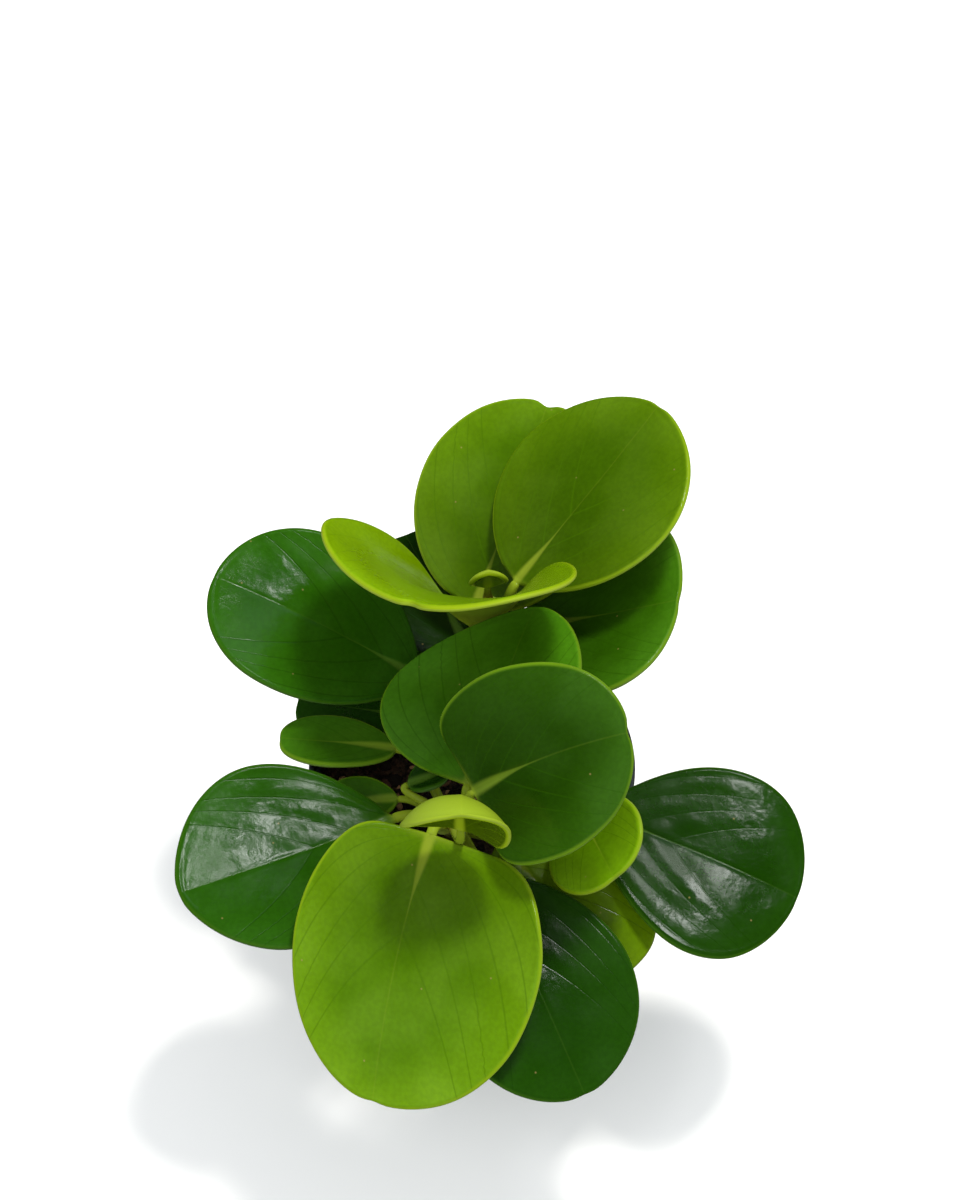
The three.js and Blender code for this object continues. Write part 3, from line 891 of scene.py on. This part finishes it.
# Colours: deep tissue, light tissue, margin, midrib, underside. The margin colour is partly painted light,
# for light shining through the thin edge. Then the bead's width and the edge's glow.
LEAF_COLOURS = {
    "lime": ("young", "#5A7800", "#688A00", "#7F9412", "#8CA018", "#7A9018", 0.5, 0.5),
    "bright": ("grown", "#365600", "#527404", "#748E10", "#748420", "#5E741A", 0.4, 0.6),
    "mid": ("grown", "#1F4200", "#335E0A", "#587812", "#627A1E", "#4C6A20", 0.5, 0.7),
    "olive": ("old", "#2E4400", "#3E5400", "#5E7010", "#60701C", "#4C6420", 0.5, 0.5),
    "dark": ("old", "#103000", "#1C4006", "#32560C", "#42601A", "#3C5C24", 0.3, 0.4),
}
finishes = {
    key: waxed_leaf(f"{age}_leaf_waxed_{key}", *values) for key, (age, *values) in LEAF_COLOURS.items()
}
for name, leaf in LEAVES.items():
    leaves[name].data.materials.append(finishes[leaf.finish])
print("leaf finishes:", [m.name for m in finishes.values()])

# %% [markdown]
# ## Stem pieces
# Each stem is skinned over round rings. The rings are close together, so that every joint gets its
# swelling and the fine ridge that is left where the stalk's collar ends.

# %% Make the stems
STEM_ROWS = 90
STEM_SIDES = 28
JOINT = {"swell": 0.7, "length": 5, "ridge": 0.22, "ridge_length": 0.6, "ridge_below": 3.4, "cork": 2.4}
STEM_WOBBLE = 0.05


def make_stem(name, stem):
    joints = [leaf.start for leaf in LEAVES.values() if leaf.stem == name]
    last = len(stem.route) - 1
    rings, heights, facts = [], [], []
    side = Vector((1, 0, 0))
    for i in range(STEM_ROWS + 1):
        t = last * i / STEM_ROWS
        middle = curve_point(stem.route, t)
        ahead, behind = (curve_point(stem.route, min(last, max(0, t + step))) for step in (0.01, -0.01))
        direction = (ahead - behind).normalized()
        side = (side - direction * side.dot(direction)).normalized()
        other = direction.cross(side)
        near = min(abs(middle.z - joint) for joint in joints)
        under = min(abs(middle.z - joint + JOINT["ridge_below"]) for joint in joints)
        radius = stem_radius(name, middle.z) + JOINT["swell"] * bell(near, JOINT["length"])
        radius += JOINT["ridge"] * bell(under, JOINT["ridge_length"])

        # The growing tip is rounded off.
        to_tip = (last - t) / last * (stem.route[-1][2] - stem.route[0][2])
        ends = 1 - (1 - min(1, to_tip / (radius * 0.8))) ** 2
        radius *= max(0.05, ends) ** 0.5

        ring = []
        for k in range(STEM_SIDES):
            turn = 2 * math.pi * k / STEM_SIDES
            out = side * math.cos(turn) + other * math.sin(turn)
            spot = Vector((middle.z / 9, math.cos(turn), math.sin(turn) + last))
            ring.append(middle + out * radius * (1 + STEM_WOBBLE * noise.noise(spot)))
        rings.append(ring)
        facts += [bell(under, JOINT["cork"])] * STEM_SIDES
        heights += [(k / STEM_SIDES * 2 * math.pi * radius, middle.z) for k in range(STEM_SIDES)]
    points = [p for ring in rings for p in ring]
    made = build("stem_of_" + name, points, skin(rings), {"joint": facts}, heights)
    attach(made, "root")
    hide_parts("stem_" + name)
    return made


stems = [make_stem(name, stem) for name, stem in STEMS.items()]
print("stems:", [o.name for o in stems])

# %% [markdown]
# ## Finish: the fleshy stem
# A young peperomia stem is soft green tissue under a thin smooth skin. It is flecked along its length
# with short brown dashes, and it goes corky and reddish at each joint, which shows its age.

# %% Stem finish
stem_skin, shader = new_material("fleshy_stem_skin")
place = add(stem_skin, "TexCoord").outputs["Object"]
long_place = add(stem_skin, "Mapping", {"Vector": place, "Scale": (1, 1, 0.35)}).outputs[0]
flecks = add(stem_skin, "TexNoise", {"Vector": long_place, "Scale": per(1.2), "Detail": 3}).outputs["Fac"]
fleck_share = add(stem_skin, "MapRange", {0: flecks, 1: 0.55, 2: 0.72, 3: 0, 4: 0.7}).outputs[0]
tissue = {0: fleck_share, 6: linear("#7D9434"), 7: linear("#5E5A26")}
green = add(stem_skin, "Mix", tissue, data_type="RGBA").outputs[2]
joint = add(stem_skin, "Attribute", attribute_name="joint").outputs["Fac"]
joint_share = add(stem_skin, "Math", {0: joint, 1: 0.75}, operation="MULTIPLY").outputs[0]
cork = {0: joint_share, 6: green, 7: linear("#64401F")}
colour = add(stem_skin, "Mix", cork, data_type="RGBA").outputs[2]
bump = add(stem_skin, "Bump", {"Height": flecks, "Distance": 0.25 * MM, "Strength": 0.7}).outputs[0]
plug(stem_skin, shader, {"Base Color": colour, "Roughness": 0.45, "Normal": bump})
for stem in stems:
    stem.data.materials.append(stem_skin)
print("stem finish:", stem_skin.name)

# %% [markdown]
# ## The pot
# A nursery pot is blown or moulded from thin recycled plastic. It tapers so that pots nest, has a
# stiff band round its rim and holes in its base. A turned profile gives the wall, with small rounds
# at its edges that catch the light, and the holes are cut through the base afterwards.

# %% Turn the pot
POT = {"height": 92, "rim": 52.5, "band": 9, "step": 1.6, "base": 38, "wall": 1.6}
POT_SIDES = 128
HOLES = {"count": 6, "off_axis": 24, "radius": 4, "sides": 24}


def turn_profile(name, profile, sides):
    """A closed profile of (radius, height) turned about the upright axis."""
    points, faces, count = [], [], len(profile)
    for i in range(sides):
        angle = 2 * math.pi * i / sides
        points += [Vector((r * math.cos(angle), r * math.sin(angle), z)) for r, z in profile]
    for i in range(sides):
        near, far = i * count, (i + 1) % sides * count
        for k in range(count - 1):
            faces.append((near + k, far + k, far + k + 1, near + k + 1))
    return build(name, points, faces)


def rounded(corner, before, after, radius, steps=4):
    """Points that round one corner of a profile."""
    corner, before, after = Vector(corner), Vector(before), Vector(after)
    start = corner + (before - corner).normalized() * radius
    end = corner + (after - corner).normalized() * radius
    return [tuple(start * (1 - t) ** 2 + corner * 2 * t * (1 - t) + end * t * t)
            for t in (i / steps for i in range(steps + 1))]


# Each corner is a radius, a height and how far it is rounded. A shallow groove runs round the foot.
rim, height, base, wall = POT["rim"], POT["height"], POT["base"], POT["wall"]
body_top = rim - POT["step"]
band_foot = height - POT["band"]
corners = [
    (0, 0, 0), (base - 4, 0, 0), (base - 3.4, 0.8, 0.3), (base - 2.2, 0.8, 0.3), (base - 1.6, 0, 0.3),
    (base, 0, 0.8), (body_top, band_foot, 0.5), (rim, band_foot, 0.6), (rim, height, 0.75),
    (rim - wall, height, 0.75), (rim - wall, band_foot + wall, 0.5),
    (body_top - wall, band_foot + wall, 0.5), (body_top - wall, band_foot, 0),
    (base - wall, wall, 1.2), (0, wall, 0),
]
profile = []
for i, (r, z, radius) in enumerate(corners):
    if radius and 0 < i < len(corners) - 1:
        profile += rounded((r, z), corners[i - 1][:2], corners[i + 1][:2], radius)
    else:
        profile.append((max(r, 0.01), z))
pot = turn_profile("nursery_pot", profile, POT_SIDES)
print("pot profile points:", len(profile))
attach(pot, "root")
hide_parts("pot")

# %% Cut the drain holes
cutters = []
for i, middle in enumerate(circle(HOLES["off_axis"], 0, HOLES["count"])):
    rings = [circle(HOLES["radius"], z, HOLES["sides"], middle) for z in (-5, 0.9, 5)]
    cutters.append(build("cutter_" + str(i), [p for ring in rings for p in ring], skin(rings)))
for cutter in cutters:
    cut = pot.modifiers.new("drain_hole", "BOOLEAN")
    cut.operation = "DIFFERENCE"
    cut.object = cutter
    cut.solver = "EXACT"
bpy.context.view_layer.update()
cut_mesh = bpy.data.meshes.new_from_object(pot.evaluated_get(bpy.context.evaluated_depsgraph_get()))
pot.modifiers.clear()
pot.data = cut_mesh
for cutter in cutters:
    bpy.data.objects.remove(cutter)
print("pot faces:", len(pot.data.polygons))

# %% [markdown]
# ## Finish: moulded black polypropylene
# The pot is black polypropylene, moulded with a satin face. It looks slate grey where the light
# grazes it. Fine scuffs from nesting and a bloom of dust from the mix keep it from looking new.

# %% Pot finish
pot_plastic, shader = new_material("moulded_black_polypropylene")
place = add(pot_plastic, "TexCoord").outputs["Object"]
cloud, grain = (
    add(pot_plastic, "TexNoise", {"Vector": place, "Scale": per(size_mm), "Detail": detail}).outputs["Fac"]
    for size_mm, detail in ((14, 5), (0.5, 2))
)
dusty = add(pot_plastic, "MapRange", {0: cloud, 1: 0.4, 2: 0.8, 3: 0, 4: 0.35}).outputs[0]
greys = {0: dusty, 6: linear("#23282C"), 7: linear("#3F444A")}
colour = add(pot_plastic, "Mix", greys, data_type="RGBA").outputs[2]
rough = add(pot_plastic, "MapRange", {0: cloud, 1: 0.3, 2: 0.7, 3: 0.4, 4: 0.6}).outputs[0]
bump = add(pot_plastic, "Bump", {"Height": grain, "Distance": 0.06 * MM, "Strength": 0.6}).outputs[0]
plug(pot_plastic, shader, {"Base Color": colour, "Roughness": rough, "Normal": bump, "IOR": 1.49})
pot.data.materials.clear()
pot.data.materials.append(pot_plastic)
print("pot finish:", pot_plastic.name)

# %% [markdown]
# ## The potting mix
# The mix is peat with bits of bark. Its top lies just under the rim, a little lower at the edge than
# round the stems, and is crumbly at two scales. A turned grid moved by noise gives the crumb, and
# loose bits of bark are laid on it afterwards, because the eye reads the bits before the ground.

# %% Fill the pot
MIX_TOP = 83
MIX_FOOT = 2.2
MIX_GAP = {"foot": 0.4, "top": 0.35}
MIX_EDGE = body_top - wall - MIX_GAP["top"]
RING_COUNT = 40
SPOKES = 120


def mix_height(x, y):
    r = math.hypot(x, y)
    crumbs = 0.9 * noise.noise(Vector((x / 7, y / 7, 1))) + 0.6 * noise.noise(Vector((x / 2.4, y / 2.4, 5)))
    return MIX_TOP + crumbs * smooth_step(MIX_EDGE - r, 0, 4)


# The mix follows the tapered wall from the inside, so its foot is as wide as the pot is there.
taper = (body_top - base) / band_foot
foot_radius = base - wall + taper * 2 - MIX_GAP["foot"]
half_way = (mix(foot_radius, MIX_EDGE, 0.5), mix(2, MIX_TOP, 0.5))
mix_rings = [circle(r, z, SPOKES) for r, z in ((0.3, MIX_FOOT), (foot_radius, MIX_FOOT), half_way)]
for i in range(RING_COUNT + 1):
    ring = circle(MIX_EDGE * (1 - i / RING_COUNT * 0.995), 0, SPOKES)
    mix_rings.append([Vector((p.x, p.y, mix_height(p.x, p.y))) for p in ring])
mix_body = build("potting_mix", [p for ring in mix_rings for p in ring], skin(mix_rings))
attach(mix_body, "root")
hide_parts("soil")
print("mix faces:", len(mix_body.data.polygons))

# %% [markdown]
# ## Loose bark
# Every bit of bark is a small lump with its own length, thickness, turn and bumps. All bits are one
# piece, each half sunk in the mix so that none hangs in the air. The draws are seeded, so the bits
# lie the same way on each run.

# %% Scatter the bark
draw = random.Random(7)


def lump(middle, sizes, turn, seed):
    """A rough closed lump: an eight-sided, five-ring ball, squashed, turned and dented."""
    rings = []
    for i in range(1, 6):
        tilt = math.pi * i / 6
        ring = []
        for k in range(8):
            angle = 2 * math.pi * k / 8
            level = Vector((math.cos(angle), math.sin(angle), 0))
            p = level * math.sin(tilt) - Vector((0, 0, math.cos(tilt)))
            dent = 1 + 0.55 * noise.noise(p * 1.3 + Vector((seed, 0, 0)))
            ring.append(middle + turn @ (p * Vector(sizes)) * dent)
        rings.append(ring)
    return rings


BARK_BITS = 420
BARK_REACH = 47.5
BARK_EDGE = 48.6
STEM_CLEAR = 4.6

bark_points, bark_faces, bark_tone = [], [], []
for n in range(BARK_BITS):
    r, angle = BARK_REACH * math.sqrt(draw.random()), draw.uniform(0, 2 * math.pi)
    x, y = r * math.cos(angle), r * math.sin(angle)
    long_side = draw.choice((1.1, 1.4, 1.9, 2.6, 3.4))
    sizes = (long_side, long_side * draw.uniform(0.4, 0.8), long_side * draw.uniform(0.22, 0.5))
    off_stems = min((Vector((x, y)) - stem_point(stem, MIX_TOP).xy).length for stem in STEMS)
    if off_stems < STEM_CLEAR + long_side or r + long_side > BARK_EDGE:
        continue
    turn = Matrix.Rotation(draw.uniform(0, 6.28), 3, "Z") @ Matrix.Rotation(draw.uniform(-0.5, 0.5), 3, "X")
    rings = lump(Vector((x, y, mix_height(x, y) + 0.25 * sizes[2])), sizes, turn, n * 1.7)
    tone = draw.random()
    bark_faces += [tuple(i + len(bark_points) for i in face) for face in skin(rings)]
    bark_points += [p for ring in rings for p in ring]
    bark_tone += [tone] * sum(len(ring) for ring in rings)
bark = build("loose_bark", bark_points, bark_faces, {"tone": bark_tone})
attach(bark, "root")
print("bark points:", len(bark_points))

# %% [markdown]
# ## Finish: moist peat and bark
# Moist peat drinks the light: it is almost black, matt, with a few brown fibres. Bark bits dry first,
# so they range from black over red brown to tan. Both are coarse, so the bump is strong.

# %% Peat and bark finishes
peat, shader = new_material("moist_peat_crumb")
place = add(peat, "TexCoord").outputs["Object"]
crumbs = {"Vector": place, "Scale": per(1.5), "Detail": 6, "Roughness": 0.65}
crumb = add(peat, "TexNoise", crumbs).outputs["Fac"]
share = add(peat, "MapRange", {0: crumb, 1: 0.42, 2: 0.7}).outputs[0]
browns = {0: share, 6: linear("#120C08"), 7: linear("#4A3220")}
colour = add(peat, "Mix", browns, data_type="RGBA").outputs[2]
bump = add(peat, "Bump", {"Height": crumb, "Distance": 1.2 * MM, "Strength": 1}).outputs[0]
plug(peat, shader, {"Base Color": colour, "Roughness": 0.9, "Normal": bump})
mix_body.data.materials.append(peat)

bark_skin, shader = new_material("shredded_pine_bark")
place = add(bark_skin, "TexCoord").outputs["Object"]
tone = add(bark_skin, "Attribute", attribute_name="tone").outputs["Fac"]
fibre = add(bark_skin, "TexNoise", {"Vector": place, "Scale": per(0.8), "Detail": 4}).outputs["Fac"]
blend = add(bark_skin, "Math", {0: fibre, 1: 0.4, 2: tone}, operation="MULTIPLY_ADD").outputs[0]
ramp = add(bark_skin, "ValToRGB", {0: blend})
ramp.color_ramp.elements[0].color = linear("#17100B")
ramp.color_ramp.elements[0].position = 0.5
ramp.color_ramp.elements[1].color = linear("#8A6844")
ramp.color_ramp.elements[1].position = 1.0
ramp.color_ramp.elements.new(0.8).color = linear("#4C2F1C")
bump = add(bark_skin, "Bump", {"Height": fibre, "Distance": 0.4 * MM, "Strength": 1}).outputs[0]
plug(bark_skin, shader, {"Base Color": ramp.outputs[0], "Roughness": 0.8, "Normal": bump})
bark.data.materials.append(bark_skin)
print("mix finishes:", peat.name, bark_skin.name)

# %% [markdown]
# ## The floor
# A sheet of uncoated white paper lies under the pot, as on a photographer's table. It is matt, so the
# eye sees an even pale ground with soft shadows and no shine, and it is far larger than the view. It is
# kept out of the leaves' shine, like the key and the fill lamp.

# %% Lay the floor
FLOOR_HALF = 3000
corners = [Vector((x * FLOOR_HALF, y * FLOOR_HALF, 0)) for x, y in ((-1, -1), (1, -1), (1, 1), (-1, 1))]
floor = build("floor", corners, [(0, 1, 2, 3)])
paper, shader = new_material("matt_white_paper")
plug(paper, shader, {"Base Color": linear("#F4F4F4"), "Roughness": 0.9})
floor.data.materials.append(paper)
floor.visible_glossy = False
print("floor:", floor.name)
